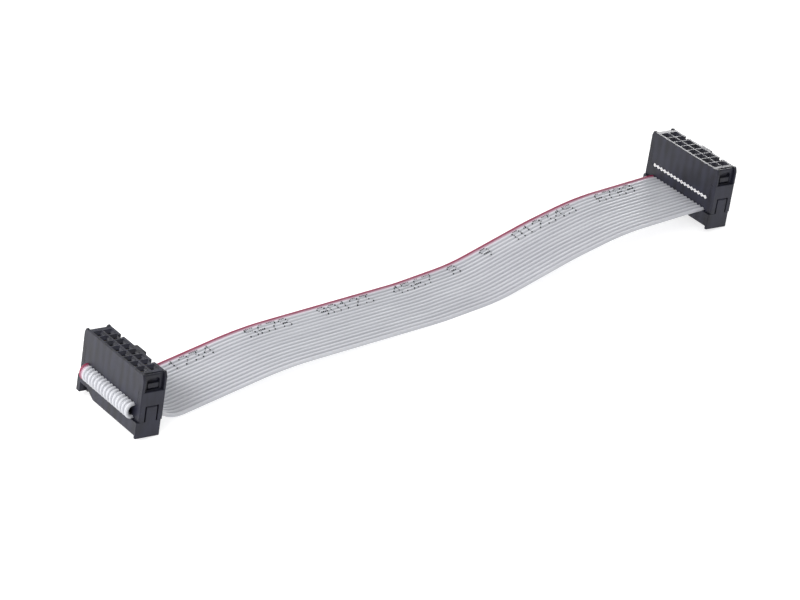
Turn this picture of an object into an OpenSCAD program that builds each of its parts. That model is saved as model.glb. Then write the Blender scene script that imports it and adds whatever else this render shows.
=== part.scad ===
// Flat ribbon cable assembly: a sixteen-way grey ribbon with an insulation-displacement socket
// pressed on each end, folded back through its strain relief.
//
// Frame: +X runs along the ribbon from the left socket to the right one, +Y along the rows of
// contacts towards conductor 1, and +Z is up. The origin is on the floor, under the middle of
// the two sockets. Each socket is drawn upright in its own frame, with its feet at z = 0 and
// its key on +X, and is then tipped back onto its rear bottom edge, as the ribbon's set leaves it.

/* [Ribbon] */
// Spacing of the conductors across the ribbon
wire_pitch = 1.27; // [1.25:0.01:1.28]
// Diameter of the insulation round each conductor
insulation_d = 0.9; // [0.8:0.02:1]
// Thickness of the web between neighbours
web_t = 0.3; // [0.2:0.02:0.36]
// Diameter of each copper conductor
conductor_d = 0.38; // [0.3:0.02:0.42]

/* [Assembly] */
// Distance between the two sockets along the ribbon
socket_spacing = 158; // [130:1:190]
// How far each socket leans back onto its rear edge, in degrees
socket_lean = 10; // [0:1:12]

/* [Sockets] */
// Height from the feet to the mating face
socket_h = 15; // [14.6:0.1:17]
// Thickness from the smooth wall to the keyed wall
socket_w = 6; // [5.8:0.1:6.6]
// Length over the cover's ends
socket_len = 24.9; // [24.6:0.1:25.4]
// Length of the mating face
mating_len = 23.8; // [23.4:0.1:24.2]
// Height of the ribbon layer that leaves the socket
lower_layer_z = 4.05; // [3.9:0.05:4.3]
// Height of the ribbon layer that the contacts pierce
upper_layer_z = 7.15; // [6.9:0.05:7.3]
// Side of each square contact cavity
cavity_side = 1.9; // [1.7:0.05:2]
// Height of the cavity floors
cavity_floor_z = 8.7; // [8.5:0.1:9]

/* [Key and notches] */
// Width of the polarising key
key_w = 3.4; // [3:0.1:5]
// How far the key stands out of the wall
key_out = 1.2; // [0.8:0.1:1.6]
// Distance of the two wall notches from the middle
notch_y = 6.35; // [5:0.05:7.5]

/* [Contacts] */
// Thickness of the contact strip
strip_t = 0.25; // [0.2:0.01:0.3]
// Width of the spring beams
beam_w = 0.9; // [0.6:0.05:1.1]

/* [Hidden] */
$fn = 48;
ways = 16;
columns = ways / 2;
row_x = wire_pitch;
half_w = socket_w / 2;
half_len = socket_len / 2;
half_mating = mating_len / 2;
slot_y = ways * wire_pitch / 2 + 0.15;   // half the length of the slots that the ribbon lies in
body_y = 11;                             // half the length of the housing between its end plates
fit_gap = 0.05;                          // clearance between mouldings that snap together
groove_r = insulation_d / 2 + 0.03;      // saddle groove round one lobe of the ribbon
nip = web_t / 2 + 0.05;                  // half the gap that the web runs through
fold_h = (upper_layer_z - lower_layer_z) / 2;
fold_r = fold_h - 0.1;                   // bend radius of the fold round the cover
joint_gap = 0.002;                       // hairline between neighbouring stretches of the ribbon

// Heights of the three mouldings of a socket
relief_top = lower_layer_z - nip;
cover_bottom = lower_layer_z + nip;
cover_top = upper_layer_z - nip;
housing_bottom = upper_layer_z + nip;
seam_z = relief_top - fit_gap;
shoulder_z = socket_h - 4;               // where the end plates narrow to pass between the posts
arm_top = socket_h - 0.15;
window_z = [socket_h - 3.85, socket_h - 1.05];
post_x = half_w - 0.6;                   // inner face of the corner posts

// Strain relief
relief_front = 0.5;                      // how far it stands forward of the housing
relief_inset = 0.25;                     // how far its rear face is set in from the housing's
rear_x = half_w - relief_inset;
bar_bottom = 0.7;
relief_arm_top = 7.5;
relief_arm_w = 2.6;
relief_arm_play = 0.4;                   // room in the cover on each side of the arm
relief_arm_t = 0.6;
hook_z = 6.6;
hook_out = 0.25;
foot_y = 10.2;                           // inner side of the foot at the conductor 1 end
foot_setback = 1.75;                     // how far back that foot's front corner is cut
notch_1_y = 8.2;                         // the notch that marks the conductor 1 end
notch_1_h = 2.4;

// Housing and cover details
nub_h = 0.15;                            // how far the posts' tips stand above the mating face
leg_z = seam_z + fit_gap;
arm_half_w = post_x - fit_gap;
arm_y = body_y + fit_gap;
arm_t = 0.65;
window_half_w = 1.6;
window_round = 0.5;
bump_half_w = 1.35;
bump_out = 0.75;
bump_h = 1.6;
key_drop = 0.2;                          // how far the key's top is below the mating face
key_bevel = 0.25;
key_bottom = 8.6;
lead_in = 0.16;                          // how far each side of a cavity flares at its mouth
lead_in_depth = 0.3;
notch_w = 1.2;
notch_d = 1;

// Contact details
fork_w = 1.1;
fork_tip_z = 5.75;
base_h = 0.7;
base_half_w = cavity_side / 2 - 0.15;
beam_t = 0.18;
throat_y = 0.28;                         // half the gap between the beams where they grip a pin

// A socket tips about its rear bottom edge, and the pair is centred on the origin
function tipped(p, lean) = [
    (p.x - rear_x) * cos(lean) + p.y * sin(lean),
    p.y * cos(lean) - (p.x - rear_x) * sin(lean)
];
front_reach = tipped([-half_w - relief_front, 0], socket_lean).x;
rear_reach = tipped([half_w + key_out, socket_h - key_drop - key_bevel], socket_lean).x;
rest_edge_mid = -(front_reach + rear_reach) / 2;
rest_edges = [rest_edge_mid - socket_spacing / 2, rest_edge_mid + socket_spacing / 2];

// The ribbon's course in the XZ plane: [x, z, bend radius] at each corner of its path.
// In a socket the corners are in the socket's own frame, and between the sockets they are
// measured from the middle of the two resting edges.
cut_back = 0.1;                          // the cut end stops just inside the wall
left_corners = [
    [half_w - cut_back, upper_layer_z, 0],
    [-half_w - fold_h, upper_layer_z, fold_r],
    [-half_w - fold_h, lower_layer_z, fold_r],
    [half_w + 0.6, lower_layer_z, 1.2]
];
free_corners = [
    [-74, 1, 7],
    [-44, 3.4, 90],
    [-1.5, 0.5, 60],
    [14, 0.5, 50],
    [36, 4.6, 80],
    [50.5, 6.4, 70]
];
right_corners = [
    [-half_w - 1.4, lower_layer_z, 12],
    [half_w + fold_h, lower_layer_z, fold_r],
    [half_w + fold_h, upper_layer_z, fold_r],
    [-half_w + cut_back, upper_layer_z, 0]
];
nominal_spacing = 158;
function in_socket(corners, edge) = [
    for (c = corners) let (p = tipped(c, socket_lean)) [p.x + edge, p.y, c[2]]
];
course = concat(
    in_socket(left_corners, rest_edges[0]),
    [for (c = free_corners) [rest_edge_mid + c.x * socket_spacing / nominal_spacing, c.y, c[2]]],
    in_socket(right_corners, rest_edges[1])
);

function heading(a, b) = atan2(b.y - a.y, b.x - a.x);
function wrapped(angle) = angle > 180 ? angle - 360 : angle < -180 ? angle + 360 : angle;
headings = [for (i = [0:len(course) - 2]) heading(course[i], course[i + 1])];
function turn(i) = wrapped(headings[i] - headings[i - 1]);
function tangent(i) = i == 0 || i == len(course) - 1 ? 0 : course[i][2] * tan(abs(turn(i)) / 2);

function wire_y(i) = (ways / 2 - i + 0.5) * wire_pitch;
function column_y(c) = (columns / 2 - c + 0.5) * 2 * wire_pitch;
function numbered(prefix, i) = str(prefix, i < 10 ? "0" : "", i);

// Sweeps its 2D children, drawn with x along the ribbon's thickness and y across its width,
// along the ribbon's course: a straight stretch between each two corners, and an arc at each.
module along_course() {
    for (i = [0:len(course) - 2]) {
        start = tangent(i) + joint_gap;
        reach = norm([course[i + 1].x, course[i + 1].y] - [course[i].x, course[i].y]);
        translate([course[i].x, 0, course[i].y])
            rotate([0, -headings[i], 0])
                translate([start, 0, 0])
                    rotate([90, 0, 90])
                        linear_extrude(reach - start - tangent(i + 1) - joint_gap)
                            rotate(-90)
                                children();
    }
    for (i = [1:len(course) - 2]) {
        side = sign(turn(i));
        bend = abs(turn(i));
        translate([course[i].x, 0, course[i].y])
            rotate([0, -headings[i - 1], 0])
                translate([-tangent(i), 0, side * course[i][2]])
                    rotate([-90, 0, 0])
                        rotate(side > 0 ? 90 - bend : -90)
                            rotate_extrude(angle = bend)
                                translate([course[i][2], 0])
                                    children();
    }
}

// ---- Ribbon ----

// One lobe of insulation round each conductor, joined by thin webs, with a bore for each wire.
module ribbon_section() {
    difference() {
        union() {
            square([web_t, (ways - 1) * wire_pitch], center = true);
            for (i = [1:ways]) translate([0, wire_y(i)]) circle(d = insulation_d);
        }
        for (i = [1:ways]) translate([0, wire_y(i)]) circle(d = conductor_d);
    }
}

// Each contact's fork opens the insulation, so the jacket is cut away where it passes.
module ribbon_jacket() {
    color("#cdd0d4")
        difference() {
            along_course() ribbon_section();
            for (edge = rest_edges, i = [1:ways])
                stand(edge) fork_clearance(i, upper_layer_z - 1, upper_layer_z + 1, 0.01);
        }
}

module conductor(i) {
    color("#c68a5c") along_course() translate([0, wire_y(i)]) circle(d = conductor_d);
}

// ---- Sockets ----

// Stands a piece that is drawn upright where its socket rests.
module stand(edge) {
    translate([edge, 0, 0]) rotate([0, socket_lean, 0]) translate([-rear_x, 0, 0]) children();
}

module both_ends() {
    children();
    mirror([0, 1, 0]) children();
}

// Extrudes a profile drawn in the YZ plane from x0 to x1.
module yz_prism(x0, x1) {
    translate([x0, 0, 0]) rotate([90, 0, 90]) linear_extrude(x1 - x0) children();
}

// Extrudes a profile drawn in the XZ plane over width w, centred on y.
module xz_prism(y, w) {
    translate([0, y + w / 2, 0]) rotate([90, 0, 0]) linear_extrude(w) children();
}

// A block standing on z0, with its four upright edges cut back.
module bevelled_block(x0, x1, y_half, z0, z1, bevel) {
    translate([0, 0, z0])
        linear_extrude(z1 - z0)
            polygon([
                [x0 + bevel, -y_half], [x1 - bevel, -y_half], [x1, -y_half + bevel],
                [x1, y_half - bevel], [x1 - bevel, y_half], [x0 + bevel, y_half],
                [x0, y_half - bevel], [x0, -y_half + bevel]
            ]);
}

// Half-round grooves that cradle the ribbon's lobes as it crosses the socket.
module saddles(z) {
    for (i = [1:ways])
        translate([-half_w - 2, wire_y(i), z]) rotate([0, 90, 0]) cylinder(r = groove_r, h = socket_w + 4);
}

// Odd conductors are taken by the front row of contacts, and even ones by the rear row.
function contact_x(i) = i % 2 == 1 ? -row_x : row_x;
function contact_column(i) = ceil(i / 2);

// The room that contact i's fork takes between two heights, with a gap all round it.
module fork_clearance(i, z0, z1, gap) {
    translate([contact_x(i) - strip_t / 2 - gap, wire_y(i) - fork_w / 2 - gap, z0])
        cube([strip_t + 2 * gap, fork_w + 2 * gap, z1 - z0]);
}

// One half of the housing's outer form, seen along X, with the round-topped posts at its end.
module housing_profile() {
    post_bottom = shoulder_z + fit_gap;
    polygon([
        [-0.1, housing_bottom], [body_y, housing_bottom], [body_y, post_bottom],
        [half_len, post_bottom], [half_len, socket_h - 1.8], [half_len - 0.1, socket_h - 1.1],
        [half_mating + 0.2, socket_h - 0.4], [half_mating - 0.1, socket_h + nub_h],
        [half_mating - 0.5, socket_h + nub_h], [half_mating - 0.65, socket_h], [-0.1, socket_h]
    ]);
}

// A contact cavity, from its floor up, with a flared mouth.
module cavity(x, y) {
    r = cavity_side / 2;
    z = socket_h - lead_in_depth;
    flare = lead_in * 2;
    profile = [[-r, z - 0.1], [r, z - 0.1], [r, z], [r + flare, z + 2 * lead_in_depth],
        [-r - flare, z + 2 * lead_in_depth], [-r, z]];
    translate([x - r, y - r, cavity_floor_z]) cube([cavity_side, cavity_side, socket_h]);
    intersection() {
        translate([x, 0, 0]) xz_prism(y, cavity_side + 2 * flare) polygon(profile);
        translate([0, y, 0]) yz_prism(x - r - flare, x + r + flare) polygon(profile);
    }
}

// The wedge that the cover's window snaps over, ramped on the side that the cover comes from.
module latch_bump() {
    yz_prism(-bump_half_w, bump_half_w)
        polygon([
            [body_y - 0.5, window_z[0] + 0.1], [body_y + bump_out - 0.3, window_z[0] + 0.1],
            [body_y + bump_out, window_z[0] + 0.5], [body_y + bump_out, window_z[0] + bump_h],
            [body_y - 0.5, window_z[0] + bump_h]
        ]);
}

// The rib on the rear wall that lets the socket into a shrouded header one way only.
module wall_key() {
    key_top = socket_h - key_drop;
    xz_prism(0, key_w)
        polygon([
            [half_w - 0.3, key_bottom], [half_w + key_out, key_bottom],
            [half_w + key_out, key_top - key_bevel], [half_w + key_out - key_bevel, key_top],
            [half_w - 0.3, key_top]
        ]);
}

// The gap between the posts at one end, cut round the bump.
module arm_recess() {
    difference() {
        translate([-post_x, body_y, shoulder_z - 1]) cube([2 * post_x, half_len, socket_h]);
        latch_bump();
    }
}

module housing() {
    color("#3a3a40")
        difference() {
            union() {
                intersection() {
                    both_ends() yz_prism(-half_w, half_w) housing_profile();
                    bevelled_block(-half_w, half_w, half_len, housing_bottom - 1, socket_h + 1, 0.15);
                }
                both_ends() latch_bump();
                wall_key();
            }
            both_ends() arm_recess();
            for (x = [-row_x, row_x], c = [1:columns]) cavity(x, column_y(c));
            for (i = [1:ways]) fork_clearance(i, housing_bottom - 1, cavity_floor_z + 0.1, fit_gap);
            for (y = [-notch_y, notch_y])
                translate([half_w - 1, y - notch_w / 2, socket_h - notch_d]) cube([2, notch_w, notch_d + 1]);
            saddles(upper_layer_z);
        }
}

// One end of the cover: a foot beside the ribbon, and a plate up the end of the housing.
module cover_end() {
    yz_prism(-half_w, half_w)
        polygon([
            [slot_y, leg_z], [half_len, leg_z], [half_len, shoulder_z - 0.1],
            [half_len - 0.1, shoulder_z], [arm_y, shoulder_z],
            [arm_y, housing_bottom - fit_gap], [slot_y, housing_bottom - fit_gap]
        ]);
    yz_prism(-arm_half_w, arm_half_w)
        polygon([
            [arm_y, shoulder_z - 1], [arm_y + arm_t, shoulder_z - 1],
            [arm_y + arm_t, arm_top - 0.2], [arm_y + arm_t - 0.2, arm_top], [arm_y, arm_top]
        ]);
}

// The opening in an arm of the cover that snaps over the bump.
module latch_window() {
    xz_prism(half_len, 2 * (half_len - body_y) + 1)
        polygon([
            [-window_half_w, window_z[0]], [window_half_w, window_z[0]],
            [window_half_w, window_z[1] - window_round], [window_half_w - window_round, window_z[1]],
            [window_round - window_half_w, window_z[1]], [-window_half_w, window_z[1] - window_round]
        ]);
}

// The room in one end of the cover for the strain relief's arm and its hook.
module relief_arm_pocket() {
    room = relief_arm_w / 2 + relief_arm_play;
    arm_side = half_len - relief_arm_t - fit_gap;
    translate([-room, arm_side, 0]) cube([2 * room, 2, relief_arm_top + 2 * fit_gap]);
    translate([-room, arm_side - hook_out - fit_gap, hook_z - fit_gap])
        cube([2 * room, 1, relief_arm_top - hook_z + 3 * fit_gap]);
}

module cover() {
    color("#37373d")
        difference() {
            intersection() {
                union() {
                    translate([-half_w, -slot_y - 0.5, cover_bottom])
                        cube([socket_w, 2 * slot_y + 1, cover_top - cover_bottom]);
                    both_ends() cover_end();
                }
                bevelled_block(-half_w, half_w, half_len, 0, socket_h, 0.2);
            }
            both_ends() {
                latch_window();
                relief_arm_pocket();
            }
            saddles(upper_layer_z);
            saddles(lower_layer_z);
            for (i = [1:ways]) fork_clearance(i, fork_tip_z - 0.15, cover_top + 1, fit_gap);
        }
}

// The bar across the bottom: it stands on a foot at each end and has a notch at the conductor 1 end.
module relief_profile() {
    polygon([
        [-half_len, 0], [-half_len + 0.55, 0], [-half_len + 0.6, bar_bottom],
        [notch_1_y - 2.9, bar_bottom], [notch_1_y, notch_1_h], [foot_y, notch_1_h], [foot_y, 0],
        [half_len, 0], [half_len, seam_z], [slot_y, seam_z], [slot_y, relief_top],
        [-slot_y, relief_top], [-slot_y, seam_z], [-half_len, seam_z]
    ]);
}

// The arm that clips up the end of the cover, with a hook at its tip.
module relief_arm() {
    arm_side = half_len - relief_arm_t;
    yz_prism(-relief_arm_w / 2, relief_arm_w / 2)
        polygon([
            [arm_side, seam_z - 1], [half_len, seam_z - 1], [half_len, relief_arm_top - 0.3],
            [half_len - 0.3, relief_arm_top], [arm_side - hook_out, relief_arm_top],
            [arm_side - hook_out, hook_z + 0.25], [arm_side, hook_z]
        ]);
}

module strain_relief() {
    front = -half_w - relief_front;
    color("#35353a")
        difference() {
            union() {
                intersection() {
                    yz_prism(front, rear_x) relief_profile();
                    bevelled_block(front, rear_x, half_len, -1, socket_h, 0.2);
                }
                both_ends() relief_arm();
            }
            translate([front - 1, foot_y - 0.5, -1])
                cube([1 + foot_setback, body_y - foot_y + 0.5, notch_1_h + 1]);
            saddles(lower_layer_z);
        }
}

// ---- Contacts ----

// The forked strip, seen along X with the conductor at y = 0: two blades with a slot between
// them that grips the bare wire, and a base that carries the beams at distance offset in y.
module fork_profile(offset) {
    difference() {
        union() {
            polygon([
                [-fork_w / 2, fork_tip_z + 0.35], [-conductor_d / 2 - 0.1, fork_tip_z],
                [conductor_d / 2 + 0.1, fork_tip_z], [fork_w / 2, fork_tip_z + 0.35],
                [fork_w / 2, cavity_floor_z - 0.1], [-fork_w / 2, cavity_floor_z - 0.1]
            ]);
            translate([offset - base_half_w, cavity_floor_z + fit_gap])
                square([2 * base_half_w, base_h]);
            translate([-0.15, cavity_floor_z - 0.5]) square([0.3, 1]);
        }
        translate([-conductor_d / 2, fork_tip_z - 1]) square([conductor_d, upper_layer_z + 0.3 - fork_tip_z + 1]);
        translate([0, upper_layer_z + 0.3]) circle(d = conductor_d);
        polygon([[-conductor_d / 2 - 0.12, fork_tip_z - 0.01], [conductor_d / 2 + 0.12, fork_tip_z - 0.01],
            [0, fork_tip_z + 0.5]]);
    }
}

// One spring beam, seen along X: it leans in to the pin and flares out again at its tip.
module beam_profile() {
    base_z = cavity_floor_z + fit_gap;
    throat_z = socket_h - 2;
    tip_z = socket_h - 0.9;
    polygon([
        [base_half_w - beam_t, base_z], [base_half_w, base_z], [base_half_w, base_z + 1.9],
        [throat_y + beam_t, throat_z], [throat_y + beam_t + 0.22, tip_z], [throat_y + 0.22, tip_z],
        [throat_y, throat_z], [base_half_w - beam_t, base_z + 1.8]
    ]);
}

module contact(i) {
    y = column_y(contact_column(i));
    color("#c3a15a")
        translate([contact_x(i), 0, 0]) {
            translate([0, wire_y(i), 0]) yz_prism(-strip_t / 2, strip_t / 2) fork_profile(y - wire_y(i));
            translate([0, y, 0]) both_ends() yz_prism(-beam_w / 2, beam_w / 2) beam_profile();
        }
}

ribbon_jacket();
for (i = [1:ways]) conductor(i);
stand(rest_edges[0]) housing();  // left_housing
stand(rest_edges[0]) cover();  // left_cover
stand(rest_edges[0]) strain_relief();  // left_strain_relief
for (i = [1:ways]) stand(rest_edges[0]) contact(i);
stand(rest_edges[1]) housing();  // right_housing
stand(rest_edges[1]) cover();  // right_cover
stand(rest_edges[1]) strain_relief();  // right_strain_relief
for (i = [1:ways]) stand(rest_edges[1]) contact(i);
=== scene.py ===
import logging
import math
from dataclasses import dataclass, field
from typing import Iterable, Sequence

import bpy
import numpy as np
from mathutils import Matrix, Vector


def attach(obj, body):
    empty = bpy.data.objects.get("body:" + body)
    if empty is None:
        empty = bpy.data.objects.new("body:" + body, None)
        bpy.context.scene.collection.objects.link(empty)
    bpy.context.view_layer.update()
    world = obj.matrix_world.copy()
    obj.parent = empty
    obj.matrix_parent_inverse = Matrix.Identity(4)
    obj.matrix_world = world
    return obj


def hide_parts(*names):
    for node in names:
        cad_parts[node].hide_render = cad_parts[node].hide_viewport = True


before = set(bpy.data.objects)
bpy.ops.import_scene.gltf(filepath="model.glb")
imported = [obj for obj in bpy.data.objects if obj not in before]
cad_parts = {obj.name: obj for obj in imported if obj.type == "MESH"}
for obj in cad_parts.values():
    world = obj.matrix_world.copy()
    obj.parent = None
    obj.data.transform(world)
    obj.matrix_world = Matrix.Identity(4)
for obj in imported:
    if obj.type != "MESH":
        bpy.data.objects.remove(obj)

# The ribbon cable's looks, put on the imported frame. +X runs along the ribbon from the left socket
# to the right one, +Y points towards conductor 1, and +Z is up. The pieces' own sizes are in
# millimetres, which MM turns into metres. Finishes, lights and the camera are in metres.

log = logging.getLogger("ribbon_cable")
MM = 0.001
Pair = tuple[float, float]
Triple = tuple[float, float, float]
Colour = Triple
WHITE: Colour = (1.0, 1.0, 1.0)
DRAWN_OUT: Triple = (1.0, 1.0, 0.1)  # makes a pattern ten times as long in Z


def hex_colour(code: str) -> Colour:
    """Turns a screen colour such as "c8cad0" into linear red, green and blue."""
    parts = [int(code[i:i + 2], 16) / 255 for i in (0, 2, 4)]
    return tuple(c / 12.92 if c <= 0.04045 else ((c + 0.055) / 1.055) ** 2.4 for c in parts)


# --- Shader writing ----------------------------------------------------------


class Value:
    """A number, or a socket that carries one, that takes part in arithmetic."""

    def __init__(self, shader: "Shader", source: object) -> None:
        """Wraps a socket or a number.

        Args:
            shader: the shader whose tree the nodes go to.
            source: a node's output socket, or a plain number.
        """
        self.shader = shader
        self.source = source

    def _math(self, operation: str, *others: object) -> "Value":
        """Adds a Math node.

        Args:
            operation: the Math node's operation.
            others: the values after this one.

        Returns:
            The result as a value.
        """
        inputs = dict(enumerate((self, *others)))
        node = self.shader.node("ShaderNodeMath", {"operation": operation}, inputs)
        return Value(self.shader, node.outputs[0])

    def __add__(self, other: object) -> "Value":
        """Adds."""
        return self._math("ADD", other)

    def __radd__(self, other: object) -> "Value":
        """Adds to a number."""
        return Value(self.shader, other)._math("ADD", self)

    def __sub__(self, other: object) -> "Value":
        """Subtracts."""
        return self._math("SUBTRACT", other)

    def __rsub__(self, other: object) -> "Value":
        """Subtracts from a number."""
        return Value(self.shader, other)._math("SUBTRACT", self)

    def __mul__(self, other: object) -> "Value":
        """Multiplies."""
        return self._math("MULTIPLY", other)

    def __rmul__(self, other: object) -> "Value":
        """Multiplies a number."""
        return Value(self.shader, other)._math("MULTIPLY", self)

    def wave(self, period: float) -> "Value":
        """Makes a smooth wave from 0 to 1, which is 1 at 0 and at every period."""
        return 0.5 + 0.5 * (self * (2 * math.pi / period))._math("COSINE")

    def remap(self, low: float, high: float, to_low: float = 0.0, to_high: float = 1.0) -> "Value":
        """Moves a range smoothly onto another and holds it at its ends.

        Args:
            low: the value that becomes to_low.
            high: the value that becomes to_high.
            to_low: the result at low.
            to_high: the result at high.

        Returns:
            The moved value.
        """
        node = self.shader.node(
            "ShaderNodeMapRange",
            {"interpolation_type": "SMOOTHSTEP"},
            {"Value": self, "From Min": low, "From Max": high, "To Min": to_low, "To Max": to_high},
        )
        return Value(self.shader, node.outputs["Result"])


class NodeWriter:
    """A node tree under construction."""

    def __init__(self, tree: bpy.types.NodeTree) -> None:
        """Takes the tree that the nodes go to."""
        self.tree = tree

    def node(
        self,
        kind: str,
        settings: dict[str, object] | None = None,
        inputs: dict[object, object] | None = None,
    ) -> bpy.types.Node:
        """Adds any node.

        Args:
            kind: the node's type name.
            settings: properties that are set first, such as a Math node's operation.
            inputs: socket names or numbers, each with a number, colour, socket or Value.

        Returns:
            The node.
        """
        made = self.tree.nodes.new(kind)
        for key, value in (settings or {}).items():
            setattr(made, key, value)
        for key, value in (inputs or {}).items():
            self.feed(made.inputs[key], value)
        return made

    def feed(self, socket: bpy.types.NodeSocket, value: object) -> None:
        """Links a socket or sets its value.

        Args:
            socket: the input.
            value: a Value, a socket, a number or a colour.
        """
        value = value.source if isinstance(value, Value) else value
        if isinstance(value, bpy.types.NodeSocket):
            self.tree.links.new(value, socket)
        elif isinstance(value, (tuple, list)) and socket.type == "RGBA" and len(value) == 3:
            socket.default_value = (*value, 1.0)
        else:
            socket.default_value = value

    def feed_open(self, node: bpy.types.Node, *values: object) -> bpy.types.NodeSocket:
        """Feeds the inputs that a node's settings leave open, in order.

        Args:
            node: the node.
            values: what the inputs get, from the first one on.

        Returns:
            The output that is open.
        """
        for socket, value in zip([s for s in node.inputs if s.enabled], values):
            self.feed(socket, value)
        return next(s for s in node.outputs if s.enabled)


class Shader(NodeWriter):
    """A material under construction, with one Principled surface."""

    def __init__(self, name: str) -> None:
        """Starts an empty material.

        Args:
            name: the material's name.
        """
        self.material = bpy.data.materials.new(name)
        self.material.use_nodes = True
        super().__init__(self.material.node_tree)
        self.tree.nodes.clear()
        self.surface = self.node("ShaderNodeBsdfPrincipled")
        output = self.node("ShaderNodeOutputMaterial")
        self.tree.links.new(self.surface.outputs[0], output.inputs["Surface"])
        self._position: bpy.types.NodeSocket | None = None

    def set(self, **inputs: object) -> None:
        """Feeds the Principled surface; an underscore in a name stands for a space."""
        for key, value in inputs.items():
            self.feed(self.surface.inputs[key.replace("_", " ")], value)

    def position(self) -> bpy.types.NodeSocket:
        """Gives the Object coordinates, from one node for the whole material.

        Returns:
            The coordinates.
        """
        if self._position is None:
            self._position = self.node("ShaderNodeTexCoord").outputs["Object"]
        return self._position

    def place(self, axis: str) -> Value:
        """Gives one of the Object coordinates: X, Y or Z."""
        split = self.node("ShaderNodeSeparateXYZ", inputs={0: self.position()})
        return Value(self, split.outputs[axis])

    def attribute(self, name: str) -> Value:
        """Reads a number stored on the mesh's points or faces."""
        node = self.node("ShaderNodeAttribute", {"attribute_name": name})
        return Value(self, node.outputs["Fac"])

    def vector(self, x: object, y: object, z: object) -> bpy.types.NodeSocket:
        """Joins three values into a vector."""
        return self.node("ShaderNodeCombineXYZ", inputs={0: x, 1: y, 2: z}).outputs[0]

    def noise(
        self,
        scale: float,
        detail: float = 2.0,
        roughness: float = 0.5,
        at: bpy.types.NodeSocket | None = None,
        stretch: Triple = (1.0, 1.0, 1.0),
    ) -> Value:
        """Adds a noise pattern.

        Args:
            scale: features per metre.
            detail: how many octaves are added.
            roughness: how strong the fine octaves are.
            at: the coordinates, or the Object coordinates where left out.
            stretch: a factor on each coordinate.

        Returns:
            The pattern, around 0.5.
        """
        mapped = self.node("ShaderNodeMapping", inputs={
            "Vector": at or self.position(), "Scale": stretch})
        node = self.node("ShaderNodeTexNoise", inputs={
            "Vector": mapped.outputs[0], "Scale": scale, "Detail": detail, "Roughness": roughness})
        return Value(self, node.outputs["Fac"])

    def blend(self, factor: object, first: object, second: object) -> bpy.types.NodeSocket:
        """Mixes two colours.

        Args:
            factor: how much of the second shows.
            first: a colour or colour socket.
            second: a colour or colour socket.

        Returns:
            The mixed colour.
        """
        node = self.node("ShaderNodeMix", {"data_type": "RGBA", "clamp_factor": True})
        return self.feed_open(node, factor, first, second)

    def bump(
        self,
        height: object,
        distance: float,
        normal: bpy.types.NodeSocket | None = None,
        strength: float = 0.5,
    ) -> bpy.types.NodeSocket:
        """Adds a Bump node.

        Args:
            height: the height pattern.
            distance: how deep a height of 1 is, in metres.
            normal: the normal to start from.
            strength: how much of it shows.

        Returns:
            The bumped normal.
        """
        inputs: dict[object, object] = dict(Height=height, Distance=distance, Strength=strength)
        if normal is not None:
            inputs["Normal"] = normal
        return self.node("ShaderNodeBump", inputs=inputs).outputs[0]

    def rounded_edges(self, radius: float, samples: int = 4) -> bpy.types.NodeSocket:
        """Gives normals that soften sharp edges over a radius in metres."""
        return self.node("ShaderNodeBevel", {"samples": samples}, {"Radius": radius}).outputs[0]


class Growth(NodeWriter):
    """A Geometry Nodes tree that puts a small shape on each of a piece's points."""

    def __init__(self, name: str, **sizes: float) -> None:
        """Starts a tree with named inputs.

        Args:
            name: the tree's name.
            sizes: the inputs with their values; an underscore in a name stands for a space.
        """
        super().__init__(bpy.data.node_groups.new(name, "GeometryNodeTree"))
        panel = self.tree.interface
        panel.new_socket("Geometry", in_out="INPUT", socket_type="NodeSocketGeometry")
        panel.new_socket("Geometry", in_out="OUTPUT", socket_type="NodeSocketGeometry")
        self.values: dict[str, float] = {}
        for key, value in sizes.items():
            kind = "NodeSocketInt" if isinstance(value, int) else "NodeSocketFloat"
            socket = panel.new_socket(key.replace("_", " "), in_out="INPUT", socket_type=kind)
            self.values[socket.identifier] = value
        self.start = self.node("NodeGroupInput")
        self.end = self.node("NodeGroupOutput")

    def size(self, name: str) -> bpy.types.NodeSocket:
        """Gives a named input."""
        return self.start.outputs[name]

    def facing(self) -> bpy.types.NodeSocket:
        """Points a shape's Z axis along the direction stored on the points.

        Returns:
            The turn that does so.
        """
        stored = self.node(
            "GeometryNodeInputNamedAttribute", {"data_type": "FLOAT_VECTOR"}, {"Name": "facing"})
        turn = self.node(
            "FunctionNodeAlignRotationToVector", {"axis": "Z"}, {"Vector": stored.outputs[0]})
        return turn.outputs[0]

    def spread(self, low: object, high: object, seed: object) -> bpy.types.NodeSocket:
        """Gives each point a random number.

        Args:
            low: the least.
            high: the most.
            seed: the seed.

        Returns:
            The number.
        """
        node = self.node("FunctionNodeRandomValue", {"data_type": "FLOAT"}, {"Seed": seed})
        return self.feed_open(node, low, high)

    def grow(
        self, piece: bpy.types.Object, shapes: bpy.types.NodeSocket, material: bpy.types.Material
    ) -> None:
        """Ends the tree and turns the piece into the plain mesh that it makes.

        Args:
            piece: the object whose points the shapes stand on.
            shapes: the instances.
            material: their finish.
        """
        solid = self.node("GeometryNodeRealizeInstances", inputs={0: shapes}).outputs[0]
        dressed = self.node("GeometryNodeSetMaterial", inputs={0: solid, "Material": material})
        self.feed(self.end.inputs[0], dressed.outputs[0])
        modifier = piece.modifiers.new("growth", "NODES")
        modifier.node_group = self.tree
        for identifier, value in self.values.items():
            modifier[identifier] = value
        graph = bpy.context.evaluated_depsgraph_get()
        mesh = bpy.data.meshes.new_from_object(piece.evaluated_get(graph), depsgraph=graph)
        piece.modifiers.remove(modifier)
        piece.data = mesh


# --- Finishes ----------------------------------------------------------------
# A range gives the values of a pattern where a second colour starts and where it is full. The
# roughness of a pattern, such as cloud_roughness, is what it adds to the finish's own.


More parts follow.
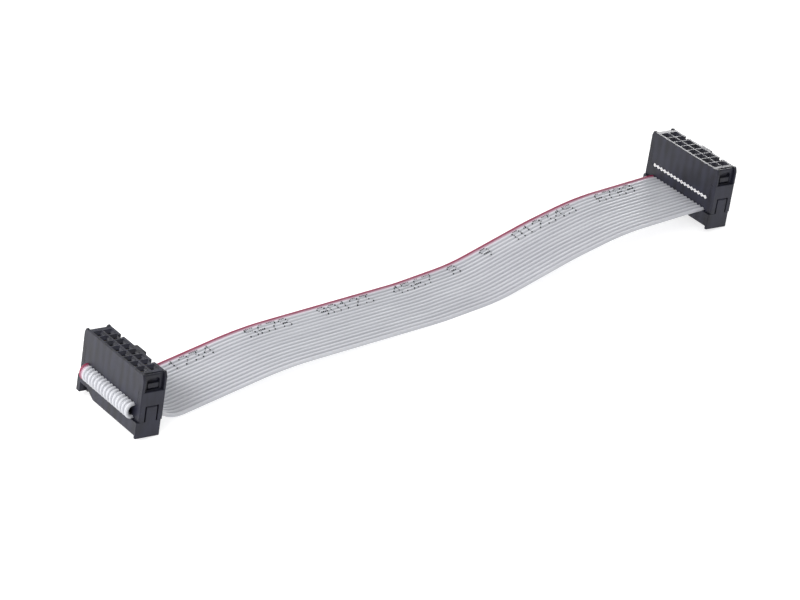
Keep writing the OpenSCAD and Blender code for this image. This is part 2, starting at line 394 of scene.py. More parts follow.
@dataclass(frozen=True)
class MouldedPlastic:
    """Fine matt charcoal plastic of the sockets.

    Its tone_mix has the shares of the clouds, flow marks, grain and sink marks in the colour, and
    its relief_mix has those of the flow and sink marks in the surface.
    """

    name: str = "socket_plastic"
    dark: Colour = hex_colour("17171f")
    light: Colour = hex_colour("272836")
    light_range: Pair = (0.35, 0.65)
    tone_mix: tuple[float, float, float, float] = (0.4, 0.35, 0.15, 0.1)
    relief_mix: Pair = (0.75, 0.25)
    roughness: float = 0.42
    cloud_roughness: float = 0.16
    grain_roughness: float = 0.1
    shine: float = 0.3
    cloud_scale: float = 260.0
    flow_scale: float = 620.0
    grain_scale: float = 9000.0
    column_pitch: float = 2.54 * MM
    flow_depth: float = 0.05 * MM
    grain_depth: float = 0.012 * MM
    edge_radius: float = 0.14 * MM

    def build(self) -> bpy.types.Material:
        """Makes the material, with flow marks and shallow sink marks at the columns of cavities.

        Returns:
            The material.
        """
        s = Shader(self.name)
        cloud = s.noise(self.cloud_scale, detail=3.0)
        grain = s.noise(self.grain_scale, roughness=0.6)
        flow = s.noise(self.flow_scale, stretch=DRAWN_OUT)
        sink = s.place("Y").wave(self.column_pitch)
        clouds, flows, grains, sinks = self.tone_mix
        tone = clouds * cloud + flows * flow + grains * grain + sinks * sink
        flows, sinks = self.relief_mix
        edges = s.rounded_edges(self.edge_radius)
        skin = s.bump(flows * flow + sinks * sink, self.flow_depth, edges)
        uneven = self.cloud_roughness * (cloud - 0.5)
        s.set(
            Base_Color=s.blend(tone.remap(*self.light_range), self.dark, self.light),
            Roughness=self.roughness + uneven + self.grain_roughness * (grain - 0.5),
            Normal=s.bump(grain, self.grain_depth, skin),
            Specular_IOR_Level=self.shine,
        )
        return s.material


@dataclass(frozen=True)
class Patched:
    """A finish with a second colour in patches, which are a little rougher too."""

    name: str
    colour: Colour
    patch_colour: Colour
    patch_range: Pair
    patch_scale: float
    patch_roughness: float
    roughness: float
    metal: float = 0.0
    stretch: Triple = (1.0, 1.0, 1.0)

    def build(self) -> bpy.types.Material:
        """Makes the material.

        Returns:
            The material.
        """
        s = Shader(self.name)
        patch = s.noise(self.patch_scale, stretch=self.stretch)
        s.set(
            Base_Color=s.blend(patch.remap(*self.patch_range), self.colour, self.patch_colour),
            Metallic=self.metal,
            Roughness=self.roughness + self.patch_roughness * patch,
        )
        return s.material


@dataclass(frozen=True)
class PlatedSpring(Patched):
    """Pale gold plating of the stamped contacts, with faint marks along the drawn strip."""

    name: str = "plated_contact"
    colour: Colour = hex_colour("c9a866")
    patch_colour: Colour = hex_colour("9d8a63")
    patch_range: Pair = (0.35, 0.7)
    patch_scale: float = 3000.0
    patch_roughness: float = 0.14
    roughness: float = 0.28
    metal: float = 1.0
    stretch: Triple = DRAWN_OUT


@dataclass(frozen=True)
class TinnedCopper(Patched):
    """Tinned copper, with the copper's warmth where the tin is thin."""

    name: str = "tinned_copper"
    colour: Colour = hex_colour("c9c6c0")
    patch_colour: Colour = hex_colour("c08a63")
    patch_range: Pair = (0.45, 0.7)
    patch_scale: float = 2500.0
    patch_roughness: float = 0.15
    roughness: float = 0.3
    metal: float = 0.9


@dataclass(frozen=True)
class MarkingInk(Patched):
    """Black marking ink, a little thin in places."""

    name: str = "marking_ink"
    colour: Colour = hex_colour("0d0e12")
    patch_colour: Colour = hex_colour("2c2e35")
    patch_range: Pair = (0.45, 0.75)
    patch_scale: float = 1800.0
    patch_roughness: float = 0.1
    roughness: float = 0.5


@dataclass(frozen=True)
class RibbonVinyl:
    """Pale grey flexible vinyl, with a crimson stripe along conductor 1.

    The stripe and the tint beside it each have a reach: how far in from conductor 1 the colour
    starts, and where it is full. The scales are a pattern's features per metre across the ribbon
    and along it, and tone_mix has the shares of the streaks and the clouds.
    """

    name: str = "ribbon_vinyl"
    pale: Colour = hex_colour("c8c9ce")
    grey: Colour = hex_colour("b9bac0")
    # The darker colour below is painted shade for the webs between the lobes, standing in for the
    # shadow that falls in those valleys.
    painted_valley_shade: Colour = hex_colour("888a92")
    stripe: Colour = hex_colour("860a3c")
    stripe_edge: Colour = hex_colour("cf9fb4")
    core: Colour = hex_colour("e8e8eb")
    pale_range: Pair = (0.35, 0.65)
    tone_mix: Pair = (0.6, 0.4)
    valley_reach: float = 0.45
    valley_shade: float = 0.55
    stripe_reach: Pair = (0.52 * MM, 0.14 * MM)
    tint_reach: Pair = (1.25 * MM, 0.5 * MM)
    tint: float = 0.6
    wander: float = 0.12 * MM
    roughness: float = 0.4
    streak_roughness: float = 0.14
    cloud_roughness: float = 0.1
    shine: float = 0.45
    streak_scale: Pair = (1500.0, 25.0)
    cloud_scale: Pair = (120.0, 45.0)
    wander_scale: Pair = (0.0, 260.0)
    skin_scale: Pair = (5000.0, 900.0)
    skin_depth: float = 0.01 * MM

    def build(self, pitch: float, edge: float) -> bpy.types.Material:
        """Makes the material.

        Args:
            pitch: the spacing of the conductors, in metres.
            edge: how far conductor 1 is from the middle, in metres.

        Returns:
            The material.
        """
        s = Shader(self.name)
        across, along = s.attribute("across"), s.attribute("along")
        course = s.vector(across, along, 0.0)
        streak = s.noise(1.0, 3.0, 0.55, course, (*self.streak_scale, 1.0))
        cloud = s.noise(1.0, 2.0, 0.5, course, (*self.cloud_scale, 1.0))
        drift = s.noise(1.0, 2.0, 0.5, course, (*self.wander_scale, 1.0))
        skin = s.noise(1.0, 2.0, 0.6, course, (*self.skin_scale, 1.0))
        lobe = (across - edge).wave(pitch)
        inked = across + self.wander * (drift - 0.5)
        stripe = inked.remap(*(edge - reach for reach in self.stripe_reach))
        tint = inked.remap(*(edge - reach for reach in self.tint_reach))
        streaks, clouds = self.tone_mix
        tone = (streaks * streak + clouds * cloud).remap(*self.pale_range)
        body = s.blend(tone, self.grey, self.pale)
        # Painted shade: the colour darkens towards the web between each pair of lobes, most at the
        # bottom of each valley.
        shade = lobe.remap(0.0, self.valley_reach, self.valley_shade, 0.0)
        body = s.blend(shade, body, self.painted_valley_shade)
        body = s.blend(self.tint * tint, body, self.stripe_edge)
        body = s.blend(stripe, body, self.stripe)
        body = s.blend(s.attribute("cut"), body, self.core)
        uneven = self.streak_roughness * (streak - 0.5)
        s.set(
            Base_Color=body,
            Roughness=self.roughness + uneven + self.cloud_roughness * (cloud - 0.5),
            Normal=s.bump(skin, self.skin_depth),
            Specular_IOR_Level=self.shine,
        )
        return s.material


@dataclass(frozen=True)
class StudioPaper:
    """Plain white floor with a faint glow of its own, as a light table has."""

    name: str = "studio_floor"
    colour: Colour = (0.53, 0.53, 0.53)
    roughness: float = 0.9
    shine: float = 0.1
    glow: float = 0.71

    def build(self) -> bpy.types.Material:
        """Makes the material.

        Returns:
            The material.
        """
        s = Shader(self.name)
        s.set(
            Base_Color=self.colour, Roughness=self.roughness, Specular_IOR_Level=self.shine,
            Emission_Color=WHITE, Emission_Strength=self.glow,
        )
        return s.material


# --- Meshes ------------------------------------------------------------------


def mesh_object(name: str, points: np.ndarray, faces: Iterable[Sequence[int]]) -> bpy.types.Object:
    """Makes a mesh object at the origin.

    Args:
        name: the object's name.
        points: its vertices in metres.
        faces: each face's vertex numbers.

    Returns:
        The linked object.
    """
    mesh = bpy.data.meshes.new(name)
    mesh.from_pydata([tuple(p) for p in points], [], [tuple(f) for f in faces])
    mesh.update()
    made = bpy.data.objects.new(name, mesh)
    bpy.context.scene.collection.objects.link(made)
    return made


def point_object(name: str, places: Sequence[tuple[Vector, Vector]]) -> bpy.types.Object:
    """Makes an object of loose points that know which way they face.

    Args:
        name: the object's name.
        places: each point in millimetres, with the direction that it faces.

    Returns:
        The linked object.
    """
    made = mesh_object(name, np.array([p for p, _ in places]) * MM, [])
    facing = made.data.attributes.new("facing", "FLOAT_VECTOR", "POINT")
    facing.data.foreach_set("vector", [c for _, n in places for c in n])
    return made


# --- Route of the ribbon -----------------------------------------------------


@dataclass(frozen=True)
class Station:
    """One place along the ribbon, in millimetres.

    It has its point in the XZ plane, its heading in radians, and the way from the left cut end.
    """

    x: float
    z: float
    heading: float
    way: float


@dataclass(frozen=True)
class SocketPlace:
    """Where a socket rests: the x of its rear bottom edge, and how far it leans back.

    On the upright socket that edge's x is rear, and half_width is half the socket's thickness.
    """

    edge: float
    lean: float = math.radians(10.0)
    half_width: float = 3.0
    rear: float = 2.75

    def point(self, x: float, z: float) -> Pair:
        """Moves a point of the upright socket to where the socket rests, in millimetres."""
        c, s = math.cos(self.lean), math.sin(self.lean)
        return ((x - self.rear) * c + z * s + self.edge, z * c - (x - self.rear) * s)


@dataclass
class RibbonRoute:
    """The ribbon's centre line: straight stretches joined by round bends, in millimetres.

    The middle is the x halfway between the sockets' rear bottom edges. The ribbon crosses each
    socket at its lower height, folds over outside it, and comes back at its upper height to a cut
    end just short of the inner wall. Where it leaves a socket it bends onto its free course: the
    exits give how far that corner is from the wall, and the bend's radius. The free course is a
    list of corners, each as its x from the middle, its height and the bend's radius. Stations are
    at most a step apart, and on a bend at most a turn_step.
    """

    middle: float = 1.100248
    socket_spacing: float = 158.0
    lower: float = 4.05
    upper: float = 7.15
    fold_radius: float = 1.45
    cut_back: float = 0.1
    left_exit: Pair = (0.6, 1.2)
    right_exit: Pair = (1.4, 12.0)
    free: tuple[Triple, ...] = (
        (-74.0, 1.0, 7.0), (-44.0, 3.4, 90.0), (-1.5, 0.5, 60.0),
        (14.0, 0.5, 50.0), (36.0, 4.6, 80.0), (50.5, 6.4, 70.0),
    )
    step: float = 2.4
    turn_step: float = math.radians(12.0)
    same_point: float = 1e-4
    left: SocketPlace = field(init=False)
    right: SocketPlace = field(init=False)

    def __post_init__(self) -> None:
        """Works out where the two sockets rest."""
        self.left = SocketPlace(self.middle - self.socket_spacing / 2)
        self.right = SocketPlace(self.middle + self.socket_spacing / 2)

    def corners(self) -> list[Triple]:
        """Lists the corners of the course.

        Returns:
            The corners as (x, z, radius of the bend).
        """
        half, turn, fold = self.left.half_width, self.fold_radius, (self.upper - self.lower) / 2
        (left_run, left_bend), (right_run, right_bend) = self.left_exit, self.right_exit
        first = [
            (half - self.cut_back, self.upper, 0.0), (-half - fold, self.upper, turn),
            (-half - fold, self.lower, turn), (half + left_run, self.lower, left_bend),
        ]
        last = [
            (-half - right_run, self.lower, right_bend), (half + fold, self.lower, turn),
            (half + fold, self.upper, turn), (self.cut_back - half, self.upper, 0.0),
        ]
        out = [(*self.left.point(x, z), r) for x, z, r in first]
        out += [(self.middle + x, z, r) for x, z, r in self.free]
        out += [(*self.right.point(x, z), r) for x, z, r in last]
        return out

    def _straight(self, corner: Triple, heading: float, start: float, end: float) -> list[Triple]:
        """Steps along a straight stretch.

        Args:
            corner: the corner that the stretch comes from.
            heading: its heading.
            start: how far from the corner it starts.
            end: how far from the corner it ends.

        Returns:
            Its places as (x, z, heading), both ends included.
        """
        count = max(1, math.ceil((end - start) / self.step))
        ways = [start + (end - start) * k / count for k in range(count + 1)]
        c, s = math.cos(heading), math.sin(heading)
        return [(corner[0] + d * c, corner[1] + d * s, heading) for d in ways]

    def _bend(self, entry: Triple, turn: float, radius: float) -> list[Triple]:
        """Steps round a bend.

        Args:
            entry: the place where it starts, as (x, z, heading).
            turn: how far it turns, in radians.
            radius: its radius.

        Returns:
            Its places as (x, z, heading), both ends left out.
        """
        x, z, heading = entry
        arm = math.copysign(radius, turn)
        cx, cz = x - arm * math.sin(heading), z + arm * math.cos(heading)
        size = abs(turn)
        count = max(2, math.ceil(size / self.turn_step), math.ceil(size * radius / self.step))
        headings = [heading + turn * k / count for k in range(1, count)]
        return [(cx + arm * math.sin(h), cz - arm * math.cos(h), h) for h in headings]

    def stations(self) -> list[Station]:
        """Walks along the course from the left cut end to the right one.

        Returns:
            The stations in order.
        """
        points = self.corners()
        heads = [math.atan2(b[1] - a[1], b[0] - a[0]) for a, b in zip(points, points[1:])]
        bends = [math.remainder(b - a, 2 * math.pi) for a, b in zip(heads, heads[1:])]
        turns = [0.0, *bends, 0.0]
        tangents = [p[2] * math.tan(abs(t) / 2) for p, t in zip(points, turns)]
        walk: list[Triple] = []
        for i, head in enumerate(heads):
            a, b = points[i], points[i + 1]
            reach = math.hypot(b[0] - a[0], b[1] - a[1])
            walk += self._straight(a, head, tangents[i], reach - tangents[i + 1])
            if i + 1 < len(heads):
                walk += self._bend(walk[-1], turns[i + 1], b[2])
        out = [Station(*walk[0], 0.0)]
        for x, z, head in walk[1:]:
            gap = math.hypot(x - out[-1].x, z - out[-1].z)
            if gap >= self.same_point:
                out.append(Station(x, z, head, out[-1].way + gap))
        return out


# --- The ribbon --------------------------------------------------------------


@dataclass
class Ribbon:
    """The flat ribbon: sixteen lobes of insulation joined by thin webs, folded back at both ends.

    Sizes are in millimetres. The slope_probe is how far to either side a slope is measured.
    """

    route: RibbonRoute
    ways: int = 16
    pitch: float = 1.27
    lobe_diameter: float = 0.9
    web: float = 0.3
    points_per_lobe: int = 10
    slope_probe: float = 0.05
    sharp_angle: float = math.radians(50)
    stations: list[Station] = field(default_factory=list)

    @property
    def edge(self) -> float:
        """How far conductor 1 is from the middle, in millimetres."""
        return (self.ways - 1) * self.pitch / 2

    def lobe_height(self, across: float) -> float:
        """Works out how far the insulation's surface is from its middle plane.

        Args:
            across: the distance from the middle towards conductor 1.

        Returns:
            Half the thickness there.
        """
        nearest = round((across + self.edge) / self.pitch)
        offset = across + self.edge - min(max(nearest, 0), self.ways - 1) * self.pitch
        radius = self.lobe_diameter / 2
        crown = math.sqrt(max(radius * radius - offset * offset, 0.0))
        inside = abs(across) < self.edge
        return max(crown, self.web / 2) if inside else crown

    def section(self) -> list[Pair]:
        """Draws the section's outline right round.

        Returns:
            Its points as (across, height), in millimetres.
        """
        radius = self.lobe_diameter / 2
        flank = math.sqrt(radius * radius - (self.web / 2) ** 2)
        spread = math.asin(flank / radius)
        top: list[Pair] = []
        for lobe in range(self.ways):
            centre = self.edge - lobe * self.pitch
            first = math.pi / 2 if lobe == 0 else spread
            last = -math.pi / 2 if lobe == self.ways - 1 else -spread
            for k in range(self.points_per_lobe + 1):
                angle = first + (last - first) * k / self.points_per_lobe
                top.append((centre + radius * math.sin(angle), radius * math.cos(angle)))
        bottom = [(y, -h) for y, h in reversed(top)]
        return top + bottom[1:-1]

    def surface_point(self, way: float, across: float, lift: float = 0.0) -> tuple[Vector, Vector]:
        """Finds a point on the upper surface of the ribbon.

        Args:
            way: the distance along the ribbon from its left cut end.
            across: the distance from the middle towards conductor 1.
            lift: how far above the insulation the point is.

        Returns:
            The point and the surface normal, in millimetres.
        """
        ways = [s.way for s in self.stations]
        i = min(max(int(np.searchsorted(ways, way)), 1), len(ways) - 1)
        a, b = self.stations[i - 1], self.stations[i]
        t = (way - a.way) / (b.way - a.way)
        head = a.heading + math.remainder(b.heading - a.heading, 2 * math.pi) * t
        up = Vector((-math.sin(head), 0.0, math.cos(head)))
        probe = self.slope_probe
        slope = (self.lobe_height(across + probe) - self.lobe_height(across - probe)) / (2 * probe)
        centre = Vector((a.x + (b.x - a.x) * t, across, a.z + (b.z - a.z) * t))
        normal = (up - slope * Vector((0.0, 1.0, 0.0))).normalized()
        return centre + up * self.lobe_height(across) + normal * lift, normal

    def build(self) -> bpy.types.Object:
        """Makes the insulation as one closed mesh with its course stored on its points.

        Returns:
            The ribbon's object.
        """
        self.stations = self.route.stations()
        outline = self.section()
        rings, size = len(self.stations), len(outline)
        points = np.zeros((rings * size, 3))
        across, along = np.zeros(rings * size), np.zeros(rings * size)
        for r, s in enumerate(self.stations):
            for k, (y, h) in enumerate(outline):
                at = r * size + k
                points[at] = (s.x - h * math.sin(s.heading), y, s.z + h * math.cos(s.heading))
                across[at], along[at] = y, s.way
        faces: list[list[int]] = []
        for r in range(rings - 1):
            for k in range(size):
                a, b = r * size + k, r * size + (k + 1) % size
                faces.append([a, b, b + size, a + size])
        top = self.ways * (self.points_per_lobe + 1)
        for first, flip in ((0, True), ((rings - 1) * size, False)):
            faces += self._cap(first, top, size, flip)
        made = mesh_object("ribbon", points * MM, faces)
        for name, values in (("across", across), ("along", along)):
            stored = made.data.attributes.new(name, "FLOAT", "POINT")
            stored.data.foreach_set("value", (values * MM).astype(np.float32))
        walls = (rings - 1) * size
        cut = [0.0] * walls + [1.0] * (len(faces) - walls)
        made.data.attributes.new("cut", "FLOAT", "FACE").data.foreach_set("value", cut)
        made.data.polygons.foreach_set("use_smooth", [True] * len(made.data.polygons))
        made.data.set_sharp_from_angle(angle=self.sharp_angle)
        return made

    @staticmethod
    def _cap(first: int, top: int, size: int, flip: bool) -> list[list[int]]:
        """Closes a cut end with strips between its upper and lower outlines.

        Args:
            first: the number of the ring's first vertex.
            top: how many vertices the upper outline has.
            size: how many vertices the ring has.
            flip: whether the faces are turned over.

        Returns:
            The faces.
        """
        out: list[list[int]] = []
        for k in range(top - 1):
            upper, following = first + k, first + k + 1
            lower = first + (size - k) % size
            under = first + (size - k - 1) % size
            face = list(dict.fromkeys((upper, lower, under, following)))
            if len(face) > 2:
                out.append(face[::-1] if flip else face)
        return out

    @property
    def length(self) -> float:
        """The ribbon's length in metres, folds included."""
        return self.stations[-1].way * MM


# The digits 0 to 9 side by side, as a printer's dots
DIGIT_ROWS = (
    ".###. ..#.. .###. ##### ...#. ##### ..##. ##### .###. .###.",
    "#...# .##.. #...# ...#. ..##. #.... .#... ....# #...# #...#",
    "#...# ..#.. ....# ..#.. .#.#. ####. #.... ...#. #...# #...#",
    "#...# ..#.. ...#. ...#. #..#. ....# ####. ..#.. .###. .####",
    "#...# ..#.. ..#.. ....# ##### ....# #...# .#... #...# ....#",
    "#...# ..#.. .#... #...# ...#. #...# #...# .#... #...# ...#.",
    ".###. .###. ##### .###. ...#. .###. .###. .#... .###. .##..",
)


@dataclass
class CountingDigits:
    """Plain counting digits, dotted in ink on the crests beside conductor 1.

    Each group is given as the way along the ribbon to its start, and its digits. The first_row is
    how far from the middle the top line of dots is, row and column are the dots' spacing, advance
    is the digits', and flank is how far from its crest a dot may be. Sizes are in millimetres,
    and smallest and largest scale the dots at random.
    """

    ribbon: Ribbon
    groups: tuple[tuple[float, str], ...] = (
        (31.5, "1234"), (52.0, "5678"), (71.5, "90123"), (92.0, "4567"),
        (108.0, "8"), (117.5, "9"), (127.0, "012345"), (151.0, "6789"),
    )
    first_row: float = 8.25
    row: float = 0.58
    column: float = 0.48
    advance: float = 3.0
    flank: float = 0.34
    lift: float = 0.004
    dot_radius: float = 0.225
    dot_height: float = 0.03
    dot_segments: int = 8
    dot_rings: int = 5
    smallest: float = 0.75
    largest: float = 1.1
    seed: int = 4

    def line_across(self, line: int) -> float:
        """Finds where a line of dots lies, on the crest or the upper flank of the nearest lobe.

        Args:
            line: the line's number, from the top of the digits.

        Returns:
            Its distance from the middle towards conductor 1.
        """
        edge, pitch = self.ribbon.edge, self.ribbon.pitch
        across = self.first_row - line * self.row
        crest = edge - round((edge - across) / pitch) * pitch
        return crest + min(max(across - crest, -self.flank), self.flank)

    def places(self) -> list[tuple[Vector, Vector]]:
        """Lists the dots of all the digits.

        Returns:
            Each dot's place, with the surface normal there.
        """
        out: list[tuple[Vector, Vector]] = []
        for start, digits in self.groups:
            for place, digit in enumerate(digits):
                for line, row in enumerate(DIGIT_ROWS):
                    across = self.line_across(line)
                    for column, mark in enumerate(row.split()[int(digit)]):
                        if mark == "#":
                            way = start + place * self.advance + column * self.column
                            out.append(self.ribbon.surface_point(way, across, self.lift))
        return out

    def build(self, ink: bpy.types.Material) -> bpy.types.Object:
        """Makes the digits as thin domes of ink.

        Args:
            ink: their finish.

        Returns:
            The digits' object.
        """
        made = point_object("counting_digits", self.places())
        tree = Growth(
            "ink_dots", Dot_Radius=self.dot_radius * MM, Dot_Height=self.dot_height * MM,
            Smallest=self.smallest, Largest=self.largest, Seed=self.seed)
        dome = tree.node("GeometryNodeMeshUVSphere", inputs={
            "Segments": self.dot_segments, "Rings": self.dot_rings, "Radius": 1.0})
        scale = tree.node("ShaderNodeCombineXYZ", inputs={
            0: tree.size("Dot Radius"), 1: tree.size("Dot Radius"), 2: tree.size("Dot Height")})
        flat = tree.node("GeometryNodeTransform", inputs={
            "Geometry": dome.outputs[0], "Scale": scale.outputs[0]})
        smooth = tree.node("GeometryNodeSetShadeSmooth", inputs={0: flat.outputs[0]})
        dots = tree.node("GeometryNodeInstanceOnPoints", inputs={
            "Points": tree.size("Geometry"), "Instance": smooth.outputs[0],
            "Rotation": tree.facing(),
            "Scale": tree.spread(tree.size("Smallest"), tree.size("Largest"), tree.size("Seed"))})
        tree.grow(made, dots.outputs[0], ink)
        return made


@dataclass
class StrandEnds:
    """The seven strands of each conductor, where they show at the ribbon's cut ends.

    One strand is the core, and the others lie round it. Sizes are in millimetres, and the stub is
    the length of strand that is made.
    """

    ribbon: Ribbon
    round_core: int = 6
    lay_radius: float = 0.122
    strand_radius: float = 0.06
    strand_sides: int = 8
    stub: float = 0.03
    seed: int = 7

    def places(self) -> list[tuple[Vector, Vector]]:
        """Lists the middles of the conductors at both cut ends.

        Returns:
            Each place, with the direction out of the cut.
        """
        out: list[tuple[Vector, Vector]] = []
        stations = self.ribbon.stations
        for station, way_out in ((stations[0], -1.0), (stations[-1], 1.0)):
            facing = Vector((math.cos(station.heading), 0.0, math.sin(station.heading))) * way_out
            for lobe in range(self.ribbon.ways):
                across = self.ribbon.edge - lobe * self.ribbon.pitch
                out.append((Vector((station.x, across, station.z)), facing))
        return out

    def build(self, copper: bpy.types.Material) -> bpy.types.Object:
        """Makes the strands as short rods that stand half out of the cut.

        Each bundle gets a roll of its own, up to the turn at which it would look the same again.

        Args:
            copper: their finish.

        Returns:
            The strands' object.
        """
        made = point_object("strand_ends", self.places())
        tree = Growth(
            "strands", Lay_Radius=self.lay_radius * MM, Strand_Radius=self.strand_radius * MM,
            Stub=self.stub * MM, Strands_Round_Core=self.round_core,
            Largest_Roll=2 * math.pi / self.round_core, Seed=self.seed)
        rod = tree.node("GeometryNodeMeshCylinder", inputs={
            "Vertices": self.strand_sides, "Radius": tree.size("Strand Radius"),
            "Depth": tree.size("Stub")})
        ring = tree.node("GeometryNodeMeshCircle", inputs={
            "Vertices": tree.size("Strands Round Core"), "Radius": tree.size("Lay Radius")})
        core = tree.node("GeometryNodeMeshLine", inputs={"Count": 1})
        seats = tree.node("GeometryNodeJoinGeometry")
        tree.feed(seats.inputs[0], ring.outputs[0])
        tree.feed(seats.inputs[0], core.outputs[0])
        bundle = tree.node("GeometryNodeInstanceOnPoints", inputs={
            "Points": seats.outputs[0], "Instance": rod.outputs[0]})
        roll = tree.node("ShaderNodeCombineXYZ", inputs={
            2: tree.spread(0.0, tree.size("Largest Roll"), tree.size("Seed"))})
        turn = tree.node("FunctionNodeRotateRotation", {"rotation_space": "LOCAL"}, {
            0: tree.facing(), 1: roll.outputs[0]})
        ends = tree.node("GeometryNodeInstanceOnPoints", inputs={
            "Points": tree.size("Geometry"), "Instance": bundle.outputs[0],
            "Rotation": turn.outputs[0]})
        tree.grow(made, ends.outputs[0], copper)
        return made


# --- Socket details ----------------------------------------------------------


@dataclass
class CavityGuides:
    """The bevelled guides in the mouths of a socket's contact cavities, which lead the pins in.

    Sizes are in millimetres: mouth and hole are the sides of the two squares, bevel is how deep
    the hole starts, and depth how deep the guide goes. The rim is how far its outside tapers in.
    """

    name: str
    place: SocketPlace
    columns: int = 8
    pitch: float = 2.54
    face: float = 14.78
    mouth: float = 1.98
    hole: float = 1.04
    bevel: float = 0.5
    depth: float = 0.63
    rim: float = 0.05

    def places(self) -> list[tuple[Vector, Vector]]:
        """Lists the middles of the cavities' mouths.

        Returns:
            Each place, with the direction out of the mouth.
        """
        out_of = Vector((math.sin(self.place.lean), 0.0, math.cos(self.place.lean)))
        out: list[tuple[Vector, Vector]] = []
        for row in (-self.pitch / 2, self.pitch / 2):
            x, z = self.place.point(row, self.face)
            for column in range(self.columns):
                y = (column - (self.columns - 1) / 2) * self.pitch
                out.append((Vector((x, y, z)), out_of))
        return out

    def build(self, plastic: bpy.types.Material) -> bpy.types.Object:
        """Makes each guide as a square frame that narrows to the hole for the pin.

        Its section is swept round the mouth. At the corners the section lies along the diagonal,
        so what goes inwards is made longer by the square root of 2.

        Args:
            plastic: their finish.

        Returns:
            The guides' object.
        """
        made = point_object(self.name, self.places())
        inwards = -math.sqrt(2.0) * MM
        tree = Growth(
            f"{self.name}_frames", Mouth=self.mouth * MM, Rim=self.rim * inwards,
            Inset=(self.mouth - self.hole) / 2 * inwards, Bevel=self.bevel * MM,
            Depth=self.depth * MM)
        square = tree.node("GeometryNodeCurvePrimitiveQuadrilateral", {"mode": "RECTANGLE"}, {
            "Width": tree.size("Mouth"), "Height": tree.size("Mouth")})
        rim, inset, depth, bevel = (tree.size(key) for key in ("Rim", "Inset", "Depth", "Bevel"))
        section = [
            tree.node("ShaderNodeCombineXYZ", inputs={0: x, 1: z}).outputs[0]
            for x, z in ((0.0, 0.0), (rim, depth), (inset, depth), (inset, bevel))
        ]
        wall = tree.node("GeometryNodeCurvePrimitiveQuadrilateral", {"mode": "POINTS"}, {
            f"Point {k}": point for k, point in enumerate(section, 1)})
        swept = tree.node("GeometryNodeCurveToMesh", inputs={
            "Curve": square.outputs[0], "Profile Curve": wall.outputs[0]})
        flat = tree.node("GeometryNodeSetShadeSmooth", inputs={
            0: swept.outputs[0], "Shade Smooth": False})
        guides = tree.node("GeometryNodeInstanceOnPoints", inputs={
            "Points": tree.size("Geometry"), "Instance": flat.outputs[0],
            "Rotation": tree.facing()})
        tree.grow(made, guides.outputs[0], plastic)
        return made


# --- Studio ------------------------------------------------------------------


@dataclass(frozen=True)
class SoftLight:
    """A square soft light: where it hangs and the point it shines at, in metres."""

    name: str
    place: Triple
    aim: Triple
    size: float
    watts: float

    def hang(self) -> None:
        """Adds the light to the scene, out of the camera's sight."""
        data = bpy.data.lights.new(self.name, "AREA")
        data.shape, data.size, data.energy = "SQUARE", self.size, self.watts
        made = bpy.data.objects.new(self.name, data)
        made.location = self.place
        beam = Vector(self.aim) - Vector(self.place)
        made.rotation_euler = beam.to_track_quat("-Z", "Y").to_euler()
        made.visible_camera = False
        bpy.context.scene.collection.objects.link(made)


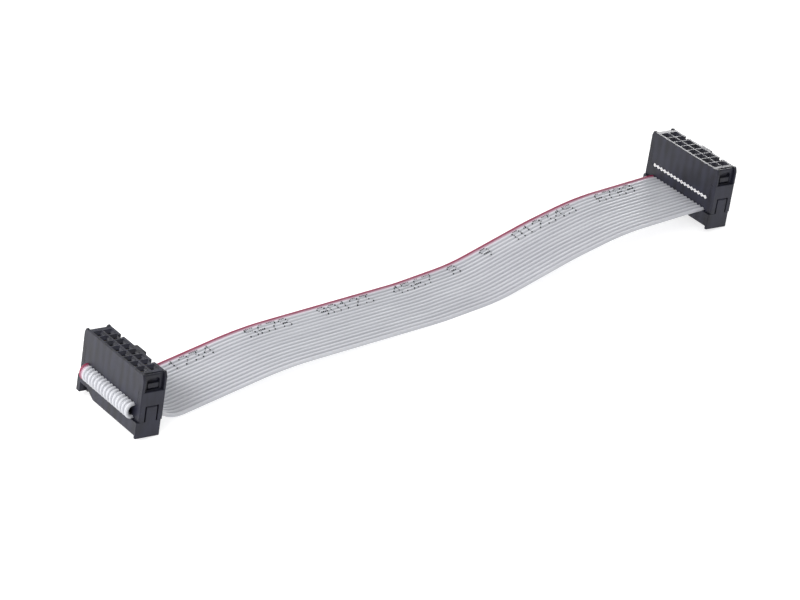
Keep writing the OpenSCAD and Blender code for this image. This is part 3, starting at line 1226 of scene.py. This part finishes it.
@dataclass
class Studio:
    """The floor, the lights and the camera, which looks at a centre from a distance.

    Sizes are in metres, apart from the camera's lens and sensor, which are in millimetres.
    """

    centre: Triple = (-4.97 * MM, 0.97 * MM, 2.23 * MM)
    distance: float = 826.5 * MM
    azimuth: float = math.radians(-35.0)
    elevation: float = math.radians(31.0)
    lens: float = 162.86
    sensor: float = 36.0
    clip: Pair = (0.01, 20.0)
    floor_reach: float = 3.0
    daylight: float = 0.72
    lights: tuple[SoftLight, ...] = (
        SoftLight("key", (-0.85, -0.35, 0.75), (-0.05, 0.0, 0.0), 0.5, 3.0),
        SoftLight("top", (0.3, 0.5, 1.1), (0.03, 0.0, 0.0), 0.7, 2.6),
        SoftLight("side", (-0.25, 0.14, 0.03), (-0.08, 0.0, 0.008), 0.08, 0.14),
        SoftLight("lift", (-0.22, 0.14, 0.17), (-0.08, 0.0, 0.008), 0.08, 0.33),
        SoftLight("rim", (0.27, 0.21, 0.095), (0.08, 0.0, 0.01), 0.08, 0.27),
    )

    def camera(self) -> None:
        """Places the camera and makes it the scene's."""
        data = bpy.data.cameras.new("camera")
        data.lens, data.sensor_width = self.lens, self.sensor
        data.clip_start, data.clip_end = self.clip
        made = bpy.data.objects.new("camera", data)
        a, e = self.azimuth, self.elevation
        back = Vector((math.sin(a) * math.cos(e), -math.cos(a) * math.cos(e), math.sin(e)))
        made.location = Vector(self.centre) + back * self.distance
        made.rotation_euler = (-back).to_track_quat("-Z", "Y").to_euler()
        bpy.context.scene.collection.objects.link(made)
        bpy.context.scene.camera = made

    def floor(self) -> None:
        """Lays the floor."""
        r = self.floor_reach
        corners = np.array([(-r, -r, 0.0), (r, -r, 0.0), (r, r, 0.0), (-r, r, 0.0)])
        made = mesh_object("studio_floor", corners, [(0, 1, 2, 3)])
        made.data.materials.append(StudioPaper().build())

    def surroundings(self) -> None:
        """Fills the room with even white light."""
        world = bpy.data.worlds.new("surroundings")
        world.use_nodes = True
        sky = world.node_tree.nodes["Background"]
        sky.inputs["Color"].default_value = (*WHITE, 1.0)
        sky.inputs["Strength"].default_value = self.daylight
        bpy.context.scene.world = world

    def build(self) -> None:
        """Sets up the whole studio."""
        self.camera()
        self.floor()
        self.surroundings()
        for light in self.lights:
            light.hang()
        bpy.context.scene.view_settings.view_transform = "Standard"


# --- Assembly ----------------------------------------------------------------


def dress(node: str, material: bpy.types.Material) -> None:
    """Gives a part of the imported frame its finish.

    Args:
        node: the part's name.
        material: its finish.
    """
    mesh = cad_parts[node].data
    mesh.materials.clear()
    mesh.materials.append(material)
    log.info("dressed %s with %s", node, material.name)


def main() -> None:
    """Builds the ribbon cable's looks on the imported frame."""
    logging.basicConfig(level=logging.INFO, format="%(name)s: %(message)s")
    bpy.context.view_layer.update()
    Studio().build()

    route = RibbonRoute()
    ribbon = Ribbon(route)
    body = ribbon.build()
    body.data.materials.append(RibbonVinyl().build(ribbon.pitch * MM, ribbon.edge * MM))
    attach(body, "root")
    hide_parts("ribbon_jacket")
    plastic, spring = MouldedPlastic().build(), PlatedSpring().build()
    copper = TinnedCopper().build()
    digits = CountingDigits(ribbon).build(MarkingInk().build())
    strands = StrandEnds(ribbon).build(copper)
    for piece, slot in (
        (digits, "ribbon_jacket"), (strands, "conductor"),
        (CavityGuides("left_cavity_guides", route.left).build(plastic), "socket_plastic"),
        (CavityGuides("right_cavity_guides", route.right).build(plastic), "socket_plastic"),
    ):
        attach(piece, "root")
        log.info("%s: %d faces", piece.name, len(piece.data.polygons))
    exit_x, exit_z = route.left.point(route.left.half_width, route.lower)
    exit_x * MM
    exit_z * MM
    ribbon.length
    ribbon.ways * ribbon.pitch * MM
    log.info("ribbon: %d stations, %.1f mm long", len(ribbon.stations), ribbon.length / MM)

    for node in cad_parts:
        if "contact" in node:
            dress(node, spring)
        elif "conductor" in node:
            dress(node, copper)
        elif node != "ribbon_jacket":
            dress(node, plastic)


if __name__ == "__main__":
    main()
